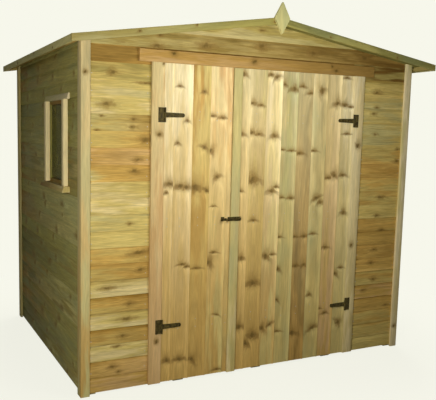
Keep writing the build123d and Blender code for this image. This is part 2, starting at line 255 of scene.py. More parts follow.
def timber(name, body, sticks, material, *nodes, slot=None, smooth=35):
    """One mesh of sticks, which carries for the material each point's place in its log, its colours and its
    place from the nearest knots. Knots go by turns into two sets, so that two that lie close both show."""
    tubes, points = [], {label: [] for label in ("log", "finish", "tone", "streak")}
    corners = {"knot_a": [], "knot_b": []}
    for s in sticks:
        section = s["section"][::-1] if np.linalg.det(s["axes"]) < 0 else s["section"]
        w, t = section.T
        start, end = (np.broadcast_to(e(w, t) if callable(e) else e, w.shape) for e in s["ends"])
        # Faces are cut midway between the knots of a set, since each face takes one of them
        sets = s["knots"][::2], s["knots"][1::2]
        cuts = np.unique(np.round([(a[0] + b[0]) / 2 for group in sets for a, b in zip(group, group[1:])], 3))
        cuts = cuts[(cuts > start.max() + MM) & (cuts < end.min() - MM)]
        u = np.array([start, *(np.full(len(w), cut) for cut in cuts), end])
        place = np.stack(np.broadcast_arrays(u, w, t), -1)
        tubes.append(s["origin"] + place @ s["axes"])
        pith = [-s["pith"][0], s["pith"][1], s["log"]]
        points["log"].append((place[..., s["order"]] + pith).reshape(-1, 3))
        share = ((u - u.min()) / np.ptp(u)).reshape(-1, 1) ** s["fade"]
        for label, first, last in zip(("tone", "streak"), s["tone"][:2], s["tone"][-2:]):
            colour = (linear(TONES[first]) * (1 - share) + linear(TONES[last]) * share) * s["light"]
            points[label].append(np.column_stack([colour, np.ones(u.size)]))
        # Masks of the long edges, where painted shade darkens them or a painted highlight pales them
        side = (w - w.min()) / np.ptp(w)
        edge_shading_masks = np.stack([np.clip(1 - side / 0.25, 0, 1), np.clip((side - 0.75) / 0.1, 0, 1)])
        first, last = (np.tile(pair @ edge_shading_masks, len(u)) for pair in (s["edge"][:2], s["edge"][-2:]))
        edge_shading = first + (last - first) * share[:, 0]
        points["finish"].append(np.stack([edge_shading * 0 + s["stain"], edge_shading, edge_shading * 0], -1))
        faces = ring_faces(*u.shape)
        middles = (u[:-1] + u[1:]).mean(1) / 2
        for label, group in zip(corners, sets):
            local = knot_places(group, middles, u.reshape(-1)[faces], np.tile(w, len(u))[faces])
            corners[label] += [local.reshape(-1, 3), np.full((2 * len(w), 3), FAR)]
    layers = {"points": points, "corners": corners}
    slot = slot or SLOTS[material.name]
    return build(name, tubes, body, material, *nodes, slot=slot, smooth=smooth, **layers)


def scatter(start, end, width, gap=0.55, size=9 * MM):
    """Knots at random along a board, about gap apart."""
    found = []
    for place in np.arange(start + rng.uniform(0, gap), end, gap):
        along, across = place + rng.uniform(-0.2, 0.2) * gap, rng.uniform(0.15, 0.85) * width
        radius, stretch = size * rng.uniform(0.5, 1.3), rng.uniform(0.8, 2.2)
        found.append((along, across, radius, stretch, rng.uniform(-25, 25)))
    return found


def pick(letters):
    """Two of the letters at random, as a tone."""
    return "".join(rng.choice(list(letters), 2))


# The slot of each wood, by its name
SLOTS = {}


def softwood(
    name, slot, ring=9 * MM, late=0.22, bands=0.16, fibre=0.08, rough=0.6, gleam=0.02, bump=0.3,
    wings=(5.0, 1.1, 0.5), droop=0.0, flame=0.0, smudge=0.0, heart=0.75, blue=1.0,
):
    """Redwood. Growth rings are a sine of the distance from the pith, which a knot pushes outwards; bands and
    fibres are noise drawn out along the log, fibres some 5 mm wide, coarser than real ones, to show. A knot
    has a dark heart, a brown halo and wings that reach so many radii along and across the grain and may droop
    with the square of the distance across; a pale flame may lie below it and a brown smudge above. blue below
    1 makes the wood yellower. slot is kept in SLOTS under the wood's name and handed on to build, which does
    not use it."""
    material, t = new_material(name)
    SLOTS[name] = slot
    labels = ("log", "finish", "knot_a", "knot_b")
    log, finish, *near = (add(t, "Attribute", attribute_name=label).outputs["Vector"] for label in labels)
    tone, streak = (add(t, "Attribute", attribute_name=label) for label in ("tone", "streak"))
    finish = add(t, "SeparateXYZ", finish)
    # The nearer of the two knots beside this place, its outline made ragged by noise
    reach = [add(t, "VectorMath", k, operation="LENGTH") for k in near]
    nearer = add(t, "Math", reach[1], reach[0], operation="LESS_THAN")
    chosen = add(t, "Mix", nearer, *near, data_type="VECTOR")
    torn = add(t, "TexNoise", log, 38.0, 3.0, 0.6)
    torn = add(t, "VectorMath", torn.outputs["Color"], (0.5, 0.5, 0.5), operation="SUBTRACT")
    torn = add(t, "VectorMath", torn, 2.6, operation="SCALE")
    local = add(t, "VectorMath", chosen, torn, operation="ADD")
    local = add(t, "VectorMath", local, (1, 1, 0), **TIMES)
    distance = add(t, "VectorMath", local, operation="LENGTH")
    along, across = add(t, "SeparateXYZ", local).outputs[:2]
    squared = add(t, "Math", across, across, **TIMES)
    along = add(t, "Math", squared, droop, along, **TIMES_ADD)
    swell = add(t, "Math", add(t, "Math", distance, -0.5, **TIMES), operation="EXPONENT")
    # Distance from the pith, with a slow wander along the log and a little taper
    slow = add(t, "TexNoise", add(t, "VectorMath", log, (6, 6, 1.3), **TIMES), 1.0, 2.0)
    wander = add(t, "VectorMath", slow.outputs["Color"], (0.5, 0.5, 0.5), operation="SUBTRACT")
    bent = add(t, "VectorMath", wander, (0.05, 0.05, 0), log, **TIMES_ADD)
    sideways = add(t, "VectorMath", bent, (1, 1, 0), **TIMES)
    radius = add(t, "VectorMath", sideways, operation="LENGTH")
    height = add(t, "SeparateXYZ", log).outputs["Z"]
    radius = add(t, "Math", height, 0.012, radius, **TIMES_ADD)
    radius = add(t, "Math", swell, 0.022, radius, **TIMES_ADD)
    grain = add(t, "CombineXYZ", radius, None, height)
    wave = add(t, "Math", add(t, "Math", radius, 2 * math.pi / ring, **TIMES), operation="SINE")
    latewood = add(t, "MapRange", wave, 0.0, 1.0, 0.0, late, **SMOOTH)
    # Patches of the second colour, light and dark bands, and fine fibres
    broad = add(t, "TexNoise", add(t, "VectorMath", log, (20, 20, 2.6), **TIMES), 1.0, 3.0, 0.55)
    share = add(t, "MapRange", broad, 0.42, 0.6, 0.0, 1.0, **SMOOTH)
    base = add(t, "Mix", share, tone, streak, **COLOUR)
    base = add(t, "VectorMath", base, (1, 1, blue), **TIMES)
    band = add(t, "TexNoise", add(t, "VectorMath", grain, (75, 1, 3), **TIMES), 1.0, 3.0, 0.6)
    band = add(t, "MapRange", band, 0.3, 0.7, 1 - bands, 1 + bands)
    fine = add(t, "TexNoise", add(t, "VectorMath", log, (180, 180, 15), **TIMES), 1.0, 2.0)
    base = add(t, "VectorMath", base, band, operation="SCALE")
    fibres = add(t, "MapRange", fine, 0.3, 0.7, 1 - fibre, 1 + fibre)
    base = add(t, "VectorMath", base, fibres, operation="SCALE")
    brown = add(t, "VectorMath", base, (0.74, 0.64, 0.46), **TIMES)
    base = add(t, "Mix", latewood, base, brown, **COLOUR)
    # Green salts left by the treatment, in cloudy patches
    cloud = add(t, "TexNoise", add(t, "VectorMath", log, (9, 9, 2.4), **TIMES), 1.0, 2.0)
    patch = add(t, "MapRange", cloud, 0.42, 0.7, 0.0, 1.0, **SMOOTH)
    salts = add(t, "Math", patch, finish.outputs["X"], **TIMES, use_clamp=True)
    base = add(t, "Mix", salts, base, rgba("8c9a70"), **COLOUR)
    # Painted shade and highlight on the long edges: darker as a scoop in shadow, paler where an edge catches
    # the light
    edge_shaded = add(t, "VectorMath", base, (0.60, 0.54, 0.36), **TIMES)
    base = add(t, "Mix", finish.outputs["Y"], base, edge_shaded, **COLOUR, clamp_factor=False)
    # The knot: smudge, flame, wings, halo, heart
    spread = add(t, "Math", squared, -0.1, **TIMES)
    column = add(t, "Math", spread, operation="EXPONENT")
    rise = add(t, "MapRange", along, 6.5, 0.5, 0.0, smudge, **SMOOTH)
    start = add(t, "MapRange", along, -1.2, 0.8, 0.0, 1.0, **SMOOTH)
    soot = add(t, "Math", add(t, "Math", rise, start, **TIMES), column, **TIMES)
    base = add(t, "Mix", soot, base, rgba("86692f"), **COLOUR)
    column = add(t, "Math", add(t, "Math", spread, 3.0, **TIMES), operation="EXPONENT")
    drop = add(t, "MapRange", along, -9.0, -1.8, 0.0, flame, **SMOOTH)
    start = add(t, "MapRange", along, -0.6, -1.6, 0.0, 1.0, **SMOOTH)
    glow = add(t, "Math", add(t, "Math", drop, start, **TIMES), column, **TIMES)
    paler = add(t, "VectorMath", base, (1.2, 1.24, 1.3), **TIMES)
    base = add(t, "Mix", glow, base, paler, **COLOUR)
    fades = []
    for way, far, most in ((along, wings[0], wings[2]), (across, wings[1], 1.0)):
        way = add(t, "Math", way, operation="ABSOLUTE")
        fades.append(add(t, "MapRange", way, far, far / 8, 0.0, most, **SMOOTH))
    winged = add(t, "Math", *fades, **TIMES)
    halo = add(t, "MapRange", distance, 3.4, 0.8, 0.0, 0.5, **SMOOTH)
    core = add(t, "MapRange", distance, 1.3, 0.3, 0.0, heart, **SMOOTH)
    for share, shade in ((winged, "6f5428"), (halo, "8a6c36"), (core, "56451f")):
        base = add(t, "Mix", share, base, rgba(shade), **COLOUR)
    relief = add(t, "Bump", bump, 0.0005, None, add(t, "Math", latewood, 1.5, fine, **TIMES_ADD))
    gloss = add(t, "MapRange", fine, 0.3, 0.7, rough - 0.06, rough + 0.08)
    surface = {"Base Color": base, "Roughness": gloss, "Normal": relief, "Specular IOR Level": gleam}
    add(t, "OutputMaterial", add(t, "BsdfPrincipled", named=surface))
    return material


# Planed shiplap redwood, pressure treated: honey and straw boards with long brown knots
cladding_wood = softwood(
    "treated_redwood_shiplap", "cladding_boards", ring=7 * MM, late=0.26, bands=0.19, fibre=0.13,
    wings=(6.0, 1.6, 0.42), flame=0.7, heart=0.5, blue=0.92,
)
# The same boards with sound, pale knots, whose swirl of sapwood is lighter than the board round it
side_wood = softwood(
    "treated_redwood_shiplap_pale_knots", "cladding_boards", ring=7 * MM, late=0.26, bands=0.19, fibre=0.13,
    wings=(3.0, 1.4, 0.2), flame=1.2, heart=0.22, blue=0.9,
)
# Planed match boards of the doors: whorls of knots across the grain, slight sheen from the planer
door_wood = softwood(
    "treated_redwood_match_boards", "door_boards", ring=12 * MM, late=0.1, bands=0.18, fibre=0.07,
    rough=0.5, gleam=0.1, wings=(1.7, 7.0, 0.66), droop=0.06, flame=0.8, smudge=0.42, heart=0.6,
)
# Planed battens of corners, jambs and roof edges: straight grain, few knots
trim_wood = softwood(
    "treated_redwood_battens", "trim_timber", ring=7 * MM, late=0.12, bands=0.12,
    wings=(1.5, 3.0, 0.5), flame=0.3, smudge=0.2,
)
# Rough-sawn framing: furry, dull, with open fibres
framing_wood = softwood("sawn_redwood_framing", "framing_timber", fibre=0.16, rough=0.78, bump=0.7)
# Roof and floor boards, sawn on the side that shows
sheeting_wood = softwood("sawn_redwood_sheeting", "sheeting_boards", fibre=0.13, rough=0.72, bump=0.5)

# --- Measures taken from the CAD ---
front_left, back_wall = cad("front_cladding_left"), cad("back_wall_cladding")
sash_box, felt_box, fascia_box = cad("window_frame"), cad("roof_felt"), cad("eaves_fascias")
leaves = {side: cad(side + "_door_boards") for side in ("left", "right")}
front_face, back_face = front_left[0, 1], back_wall[1, 1]
ridge = felt_box[1, 2]
fall = (ridge - fascia_box[1, 2]) / felt_box[1, 0]
edge_h = ridge - fall * fascia_box[1, 0] - fascia_box[0, 2]
wall_top = back_wall[1, 2]
board_t = front_left[1, 1] - front_face
foot, doorway = front_left[0, 2], cad("front_cladding_right")[0, 0]
head, half = cad("front_gable_cladding")[0, 2], cad("right_wall_cladding")[1, 0]

# --- Cladding: shiplap boards laid level, each lapping over the one below ---
JOINT, PITCH, SCOOP, SINK = 0.100, 0.0957, 0.019, 0.0055
LAST = int((wall_top - JOINT) / PITCH)
side_top = wall_top - fall * half


def knots_on(knots, start, width):
    """Those of the knots, in mm (along, across, radius, ...), that lie across from start to start + width."""
    found = [(k[0] * MM, k[1] * MM - start, k[2] * MM, *k[3:]) for k in knots]
    return [k for k in found if 0 <= k[1] < width]


def course(n, low=0.0, high=9.0):
    """Lower edge and section of board n, where 0 is the first whole one; the foot and top are cut off."""
    base = JOINT + n * PITCH
    return base, shiplap(PITCH, board_t, SCOOP, SINK, max(low, foot - base), min(high, wall_top - MM - base))


def gable_board(n, face, inward, *style, **more):
    """Board n across a gable wall. Where the roof cuts its ends it has two parts, square below the eaves and
    sloping above."""
    base, section = course(n)
    eaves = side_top - base
    board = stick((0, face, base), X, Z, inward, -half, half, section, *style, **more)
    if eaves >= PITCH:
        return [board]
    slopes = [lambda w, t, side=side: side * (wall_top - base - w) / fall for side in (-1, 1)]
    upper = {**board, "section": course(n, low=eaves)[1], "ends": slopes}
    return [upper] if eaves <= 0 else [{**board, "section": course(n, high=eaves)[1]}, upper]


# From the foot up, each board's colours left and right of the doors, then how much darker its lower and upper
# edges are, left of the doors and right, or at its two ends where it runs over them, as painted shade; below
# zero is paler, a painted highlight
FRONT_BOARDS = [
    ("rh", "sw"), ("thhr", "hw", 0, 0.3, -0.5, 0.1), ("sc", "hw"), ("hwtt", "hh", 0, 0.8, -0.3, 0.5),
    ("sc", "hr", -0.5, 0.7, -0.7, 0.5), ("hwtt", "hw", 0, 0.8, -0.4, 0.3), ("sccc", "ht", -0.2, 0.7, -1.4, 0),
    ("hwtt", "ht", 0, 0.2, -0.2, -0.2), ("hwth", "hh", 0, -0.3, 0.3, 0.4),
    ("ss", "thhw", -0.2, 0.2, 0.3, 0.2), ("sg", "ww", 0, -0.2, -0.8, -0.3), ("sc", "wh"),
    ("cssw", "wh", 0, 0, -0.2, 0), ("hgtt", "th", -0.5, 0, -0.3, -0.2), ("trrh", "hw", -0.2, -0.3, -0.3, 0),
    ("hwth", "wg", -0.4, -0.2, 0, 0), ("gwtb", "gw"), ("sc", "sg", 0, -0.2, 0, 0),
    ("csgs", "wg", 0, 0, -0.6, -0.4), ("ow", "sw", -0.3, 0, 0.3, 0.7), ("bbtb", "ou", 0.2, -0.3, 0, 0),
    ("gobu", "", -0.2, 0.3, 0, 0.4), ("odog", ""), ("go", ""),
]
# Knots of the front: mm along from the middle, mm up, radius, stretch, tilt
FRONT_KNOTS = [
    (-1014, 1864, 11), (-810, 1814, 7, 4), (-1050, 1686, 13), (-1076, 1620, 5), (-886, 1606, 8, 1.2),
    (-894, 1562, 6), (-1106, 1540, 5), (-810, 1490, 14), (-860, 1376, 9), (-878, 1308, 9, 1.6),
    (-906, 1004, 7), (-840, 830, 11, 3, 8), (-834, 726, 9, 1.5, 6), (-1040, 630, 8, 3), (-900, 526, 9, 1.6),
    (-914, 436, 9, 3), (-940, 334, 9, 1.8), (-974, 276, 5, 4), (-1006, 154, 9), (-966, 120, 6),
    (904, 1834, 12), (910, 1734, 7), (884, 1690, 6), (906, 1550, 6), (1120, 1446, 7), (1120, 1362, 8),
    (986, 1110, 7, 3), (960, 976, 8), (1010, 870, 9), (954, 734, 9), (930, 640, 8, 2), (960, 520, 9),
    (874, 444, 7, 2), (1094, 314, 6, 2), (-960, 2054, 11), (-744, 2026, 12, 1.6), (-730, 2088, 7),
    (-426, 2052, 16, 1.8), (-40, 2076, 16, 1.3), (-40, 2174, 7), (350, 2062, 16), (780, 2060, 12, 1.6),
]
# Long boards sawn beside the pith, whose right end's colours start soon
OVER_DOORS = {"pith": (0.035, 0.004), "fade": 0.65}
boards = []
for n, (left_tone, right_tone, *edge_shadings) in enumerate(FRONT_BOARDS, -1):
    (base, section), edge_shadings = course(n), edge_shadings or (0, 0, 0, 0)
    knots, place = knots_on(FRONT_KNOTS, base, PITCH), (0, front_face, base)
    if base < head:
        boards.append(stick(place, X, Z, Y, -half, -doorway, section, left_tone, knots, edge=edge_shadings[:2]))
        boards.append(stick(place, X, Z, Y, doorway, half, section, right_tone, knots, edge=edge_shadings[2:]))
        if base + PITCH > head:
            over = course(n, low=head - base)[1]
            boards.append(stick(place, X, Z, Y, -doorway, doorway, over, "bu"))
    else:
        boards += gable_board(n, front_face, Y, left_tone, knots, edge=edge_shadings, **OVER_DOORS)
timber(
    "front_wall_boards", "root", boards, cladding_wood,
    "front_cladding_left", "front_cladding_right", "front_gable_cladding",
)

boards = []
for n in range(-1, LAST + 1):
    boards += gable_board(n, back_face, -Y, pick("wshogs"), scatter(-half, half, PITCH))
timber("back_wall_boards", "root", boards, cladding_wood, "back_wall_cladding")

# Gap and size of knots on the side walls and the frame, and how green those walls are
SIDE_KNOTS, FEW_KNOTS, GREEN = (0.5, 12 * MM), (0.6, 7 * MM), 0.25
# Side walls: the left one darkens towards the back and low down, painted shade, and its boards are cut round
# the window
for side, inward, hole in (("left", X, sash_box), ("right", -X, None)):
    wall = cad(side + "_wall_cladding")
    boards, front, back = [], *wall[:, 1]
    face = wall[0, 0] if side == "left" else wall[1, 0]
    for n in range(-1, int((side_top - JOINT) / PITCH) + 1):
        base, _ = course(n)
        if side == "left":
            # Darker tones at the back end, darker still on low boards: painted shade of the left wall
            tone = pick("l" if 7 < n < 11 else "mmo" if n > 16 else "mlmo") + pick("fvb" if n < 6 else "nfnb")
        else:
            tone = pick("mlmng")
        place, whole = (face, 0, base), course(n, high=side_top - base)[1]
        runs, gaps = [(front, back)], []
        if hole is not None and base < hole[1, 2] and base + PITCH > hole[0, 2]:
            runs = [(front, hole[0, 1]), (hole[1, 1], back)]
            gaps = [(0, hole[0, 2] - base), (hole[1, 2] - base, side_top)]
        for start, end in runs:
            knots = scatter(start, end, PITCH, *SIDE_KNOTS)
            boards.append(stick(place, Y, Z, inward, start, end, whole, tone, knots, stain=GREEN))
        for low, high in gaps:
            if 0 <= low < PITCH and high > 0:
                part = course(n, low, min(high, side_top - base))[1]
                boards.append(stick(place, Y, Z, inward, hole[0, 1], hole[1, 1], part, tone, stain=GREEN))
    timber(side + "_wall_boards", "root", boards, side_wood, side + "_wall_cladding")

# --- Door leaves: upright match boards, scooped along one edge ---
# From the left: width in mm, colours, how green it is and how much darker its edges are at the top, as
# painted shade; below zero paler, a painted highlight
DOOR_BOARDS = {
    "left": [
        (59, "hhkc", 0, 0, -0.5), (122, "hhkc", 0, 0, -0.7), (118, "hhst", 0, 0.5, 0),
        (119, "hscr", 0, -0.3, -0.3),
    ],
    "right": [
        (39, "hwcr", 0, 0, 0), (118, "hhdc", 0, 0, -0.5), (116, "hhgd", 0, -0.7, 0.1),
        (118, "hskc", 0, 0.3, -0.7), (120, "wsdg", 0.35, 0.1, -0.5), (116, "tbdd", 0.1, 0, 0.2),
        (118, "wsdc", 0.35, -0.7, 0.3), (116, "hrcc", 0, 0.5, -0.4), (105, "sskc", 0, 0, -0.5),
    ],
}
# Knots of the doors: mm up, mm across from the middle of the front, radius, stretch, tilt
DOOR_KNOTS = [
    (1230, -660, 15, 1), (1180, -680, 5), (150, -660, 9), (1806, -600, 7, 1), (1606, -550, 6),
    (1470, -610, 6), (1216, -590, 13, 1), (1210, -548, 14, 1), (740, -566, 11, 0.6), (726, -534, 9, 0.8),
    (146, -574, 14, 0.8), (1780, -440, 6), (1450, -430, 9, 1.2, 30), (1206, -490, 16, 1.2),
    (1190, -410, 11, 1, 25), (710, -470, 12, 0.5), (130, -490, 12, 1, 40), (1640, -380, 10, 0.6),
    (1630, -310, 11, 0.7), (1430, -390, 9, 1.6, 35), (1270, -340, 9, 1.5, -30), (1090, -360, 7, 0.6),
    (800, -350, 10, 0.6), (740, -390, 13, 1.6, 35), (400, -320, 8, 0.7, 20), (40, -310, 11, 0.6),
    (1900, -170, 9), (1534, -174, 10, 1), (1180, -170, 7, 1), (750, -150, 9), (300, -154, 13, 1.2),
    (1724, -100, 12, 0.9), (1714, -40, 10, 0.8), (1544, -100, 11, 1), (1534, -50, 12, 0.8),
    (1250, -86, 20, 1.2), (990, -70, 10, 0.8), (580, -60, 20, 0.9), (180, -100, 12), (230, -50, 17, 1.2),
    (1906, 30, 10, 1), (1894, 74, 10, 1.2, -30), (1526, 70, 11, 1.3), (1174, 60, 12, 1.1), (1200, 94, 9, 0.9),
    (750, 30, 12, 1.3, 20), (760, 80, 9, 0.7), (270, 20, 10, 1.5, 25), (290, 80, 11, 0.8, -30),
    (1850, 134, 8), (1826, 210, 13, 1), (1440, 130, 10, 0.5), (1434, 206, 12, 0.5), (1130, 140, 10, 0.6),
    (1126, 212, 11, 0.8), (870, 130, 10, 0.6), (660, 128, 10, 1, 30), (450, 128, 9, 0.8, 30),
    (234, 140, 11, 0.5), (1846, 274, 10, 0.8), (1806, 340, 10, 0.8), (1416, 270, 12, 0.7),
    (866, 252, 11, 0.6), (866, 334, 12, 0.7), (670, 270, 12, 0.7), (670, 340, 9), (210, 262, 14, 1),
    (1826, 430, 9, 2, -40), (1434, 380, 11, 0.6), (1120, 420, 14, 0.8, -25), (1090, 450, 9),
    (880, 400, 10, 0.6), (460, 390, 7), (226, 430, 16, 0.8, -20), (1746, 560, 12, 1.3), (1254, 510, 13, 0.7),
    (1270, 560, 11, 1.4, 20), (780, 510, 10, 0.9), (354, 480, 8, 0.6), (320, 530, 9, 0.8),
    (1740, 620, 13, 0.8), (1730, 670, 10, 0.6), (1550, 650, 12, 0.5), (1920, 630, 10, 0.7),
    (1270, 630, 12, 0.8), (1014, 650, 9), (590, 600, 12, 0.9, 25), (630, 650, 9, 0.7),
    (240, 650, 11, 1.5, 60),
]
HOLLOW, RECESS = 25 * MM, 5 * MM
EDGE_SHADING_AT_FOOT = 0.3  # painted edge shade and highlight at the foot, as a share of what it is at the top
for side, leaf in leaves.items():
    # The boards reach to 2 mm from the other leaf, and as near the jamb as the hinge pins let them
    ends = leaf[:, 0] + ([-2.4 * MM, 2 * MM] if side == "left" else [-2 * MM, 2.4 * MM])
    boards, x = [], ends[0]
    widths = np.array([width for width, *_ in DOOR_BOARDS[side]]) * MM
    widths *= np.ptp(ends) / widths.sum()
    for width, (_, tone, stain, *edge_shadings) in zip(widths, DOOR_BOARDS[side]):
        section, knots = lapped(width, np.ptp(leaf[:, 1]), HOLLOW, RECESS), knots_on(DOOR_KNOTS, x, width)
        place = (x, leaf[0, 1], 0)
        style = {"stain": stain, "edge": [*(EDGE_SHADING_AT_FOOT * edge_shading for edge_shading in edge_shadings), *edge_shadings]}
        boards.append(stick(place, Z, X, Y, leaf[0, 2], head - MM, section, tone, knots, **style))
        x += width
    timber(side + "_door_match_boards", side + "_door", boards, door_wood, side + "_door_boards")

strip = cad("door_cover_strip")
strip_size = strip[1] - strip[0]
section = batten(*strip_size[:2], 3 * MM)
board = stick(strip[0], Z, X, Y, 0, strip_size[2], section, "scgo", stain=0.3)
timber("meeting_strip", "right_door", [board], trim_wood, "door_cover_strip", slot="door_boards")

# --- Pieces that keep the CAD's outline: each of its prisms becomes a stick with eased edges ---


def prisms(node, axis):
    """Each separate solid of a CAD node as (origin, outline, length): vertices that share a place join its
    triangles, and its outline is the corners at its low end, in order of their angle about the middle."""
    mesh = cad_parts[node].data
    co = np.empty(len(mesh.vertices) * 3)
    mesh.vertices.foreach_get("co", co)
    loops = np.empty(len(mesh.loops), int)
    mesh.loops.foreach_get("vertex_index", loops)
    places, index = np.unique(co.reshape(-1, 3).round(5), axis=0, return_inverse=True)
    faces = index.reshape(-1)[loops].reshape(-1, 3)
    group = np.arange(len(places))
    while True:
        lowest = group.copy()
        np.minimum.at(lowest, faces.ravel(), np.repeat(group[faces].min(1), 3))
        if (lowest == group).all():
            break
        group = lowest
    found, flat = [], [(axis + 1) % 3, (axis + 2) % 3]
    for g in np.unique(group):
        solid = places[group == g]
        low = solid[:, axis].min()
        outline = solid[solid[:, axis] < low + MM / 10][:, flat]
        corner = outline.min(0)
        middle = outline - outline.mean(0)
        outline = outline[np.argsort(np.arctan2(middle[:, 1], middle[:, 0]))] - corner
        origin = np.zeros(3)
        origin[[axis, *flat]] = low, *corner
        found.append((origin, outline, solid[:, axis].max() - low))
    return found


def from_cad(name, node, along, material, letters="", tone=None, ease=2 * MM, knots=None, **style):
    """A CAD node's prisms as sticks along an axis, or along the one of two that each is long in. Each has the
    given tone or one picked from letters."""
    sticks = []
    for axis in map("XYZ".index, along):
        ways = [(X, Y, Z)[(axis + n) % 3] for n in range(3)]
        for origin, outline, length in prisms(node, axis):
            if len(along) == 1 or length > outline.max():
                found = scatter(0, length, outline[:, 0].max(), *FEW_KNOTS) if knots is None else knots
                section, colours = eased(outline, ease), tone or pick(letters)
                sticks.append(stick(origin, *ways, 0, length, section, colours, found, **style))
    timber(name, "root", sticks, material, node)


framing = [("floor_joists", "floor_bearers", "Y", "tgo", 0.6)]
for wall in ("front_wall", "back_wall", "left_wall", "right_wall"):
    framing.append((wall + "_uprights", wall + "_studs", "Z", "thso", 0.2))
framing.append(("window_noggings", "window_noggins", "Y", "thso", 0.2))
framing.append(("purlins_and_battens", "roof_purlins", "Y", "thso", 0.2))
for name, node, along, letters, stain in framing:
    from_cad(name, node, along, framing_wood, letters, stain=stain)
from_cad("eaves_boards", "eaves_fascias", "Y", trim_wood, "l", stain=0.3)
for side, tone, edge, knots in (
    ("left", "rrcr", (0.1, -0.4, 0.3, -0.1), [(266, 50, 8), (1510, 50, 12, 1), (1915, 70, 5)]),
    ("right", "wckc", (-0.3, 0, -0.1, 0.1), [(770, 30, 9), (1460, 45, 11)]),
):
    style = {"tone": tone, "knots": knots_on(knots, 0, 1), "fade": 1.0, "edge": edge}
    from_cad(side + "_jamb_batten", side + "_jamb_trim", "Z", trim_wood, **style)
# Plates of the front and back run along X, those of the sides along Y
from_cad("sole_rails", "sole_plates", "XY", framing_wood, "thso")
from_cad("head_rails", "top_plates", "XY", framing_wood, "thso")

# Header over the doors: one long pinkish board
header = cad("header_trim")
knots = knots_on([(-646, 55, 9), (-100, 45, 11, 1.6), (500, 51, 8), (530, 25, 9, 2)], 0, 1)
section = batten(header[1, 2] - header[0, 2], header[1, 1] - header[0, 1])
board = stick((0, *header[0, 1:]), X, Z, Y, *header[:, 0], section, "rtbb", knots, fade=0.5)
timber("header_board", "root", [board], trim_wood, "header_trim")


def under_roof(x, across=0, depth=0):
    """A stick's upper end, cut under the roof, where x is its origin's and changes with across and depth."""
    return lambda w, t: wall_top - fall * np.abs(x + across * w + depth * t)


# Corner battens: one on the end wall and one round the corner on the side wall
CORNER_W = 55 * MM
CORNERS = {(-1, -1): ("hlcd", [(1.854, 0.025, 8 * MM, 1)]), (-1, 1): ("kckl", [(0.154, 0.025, 9 * MM, 1)])}
for end, node, face in ((-1, "front_corner_trims", front_face), (1, "back_corner_trims", back_face)):
    box, sticks = cad(node), []
    out, far = abs(box[0, 1]) if end < 0 else box[1, 1], box[1, 0]
    thick = out - abs(face)
    side_w = np.ptp(box[:, 1]) - thick
    for side in (-1, 1):
        tone, knots = CORNERS.get((end, side), ("gs", []))
        x = far - CORNER_W if side > 0 else -far
        place, section = (x, end * out, 0), batten(CORNER_W, thick, 3 * MM)
        top = under_roof(x, across=1)
        sticks.append(stick(place, Z, X, -end * Y, 0, top, section, tone, knots, fade=1.0))
        place = (side * far, abs(face) - side_w if end > 0 else -abs(face), 0)
        section, top = batten(side_w, thick, 3 * MM), under_roof(far, depth=-1)
        sticks.append(stick(place, Z, Y, -side * X, 0, top, section, tone, fade=1.0))
    timber(node.replace("trims", "battens"), "root", sticks, trim_wood, node)

# Bargeboards: each runs down its slope, cut plumb at both ends
for side in ("front_left", "front_right", "back_left", "back_right"):
    box = cad(side + "_bargeboard")
    length, depth = np.ptp(box, 0)[:2]
    way, tone, stain = (-1, "nnog", 0.15) if "left" in side else (1, "fnnm", 0.3)
    outer, inward = (box[0, 1], Y) if "front" in side else (box[1, 1], -Y)
    knots = scatter(0, length, edge_h, 0.45, 6 * MM)
    place, section = (0, outer, ridge), batten(edge_h, depth)
    board = stick(place, (way, 0, -fall), -Z, inward, 0, length, section, tone, knots, stain=stain)
    timber(side + "_roof_edge", "root", [board], trim_wood, side + "_bargeboard")

# Finial: a diamond cut from a board whose grain stands upright
diamond = cad("finial")
wide, thick, tall = diamond[1] - diamond[0]
outline = eased([(wide / 2, 0), (wide, tall / 2), (wide / 2, tall), (0, tall / 2)], 3 * MM)
style = {"order": (1, 0, 2), "pith": (0.03, 0.03), "stain": 0.4}
board = stick(diamond[1] - [wide, 0, tall], -Y, X, Z, 0, thick, outline, "ll", **style)
timber("gable_diamond", "root", [board], trim_wood, "finial")

# --- Roof and floor boards ---


def planks(name, node, count, along, ends, section, letters, knotty, dark=0):
    """Planks side by side over a CAD node; section is (gap, depth). The first few, at the front, may be dark:
    painted shadow under the bargeboards.
    """
    box, sticks = cad(node), []
    width = np.ptp(box[:, 1]) / count
    outline = batten(width - section[0], section[1], MM)
    for n in range(count):
        place = (0, box[0, 1] + n * width, box[1, 2])
        tone = "fn" if n < dark else pick(letters)
        sticks.append(stick(place, along, Y, -Z, *ends, outline, tone, scatter(*knotty, width)))
    timber(name, "root", sticks, sheeting_wood, node)


ROOF_COUNT, DECK_COUNT, ROOF_SECTION = 20, 18, (0.6 * MM, 12 * MM)
for side, way in (("left", -1), ("right", 1)):
    node = "roof_boards_" + side
    slope, ends = (way, 0, -fall), (0.4 * MM, np.ptp(cad(node)[:, 0]))
    # The two front planks of each slope are dark: painted shadow under the bargeboards
    planks(side + "_roof_planks", node, ROOF_COUNT, slope, ends, ROOF_SECTION, "thso", (0, 1.27), dark=2)
deck = cad("floor_deck")
section = (0.8 * MM, deck[1, 2] - deck[0, 2])
planks("deck_planks", "floor_deck", DECK_COUNT, X, deck[:, 0], section, "thsr", (-1.1, 1.1))

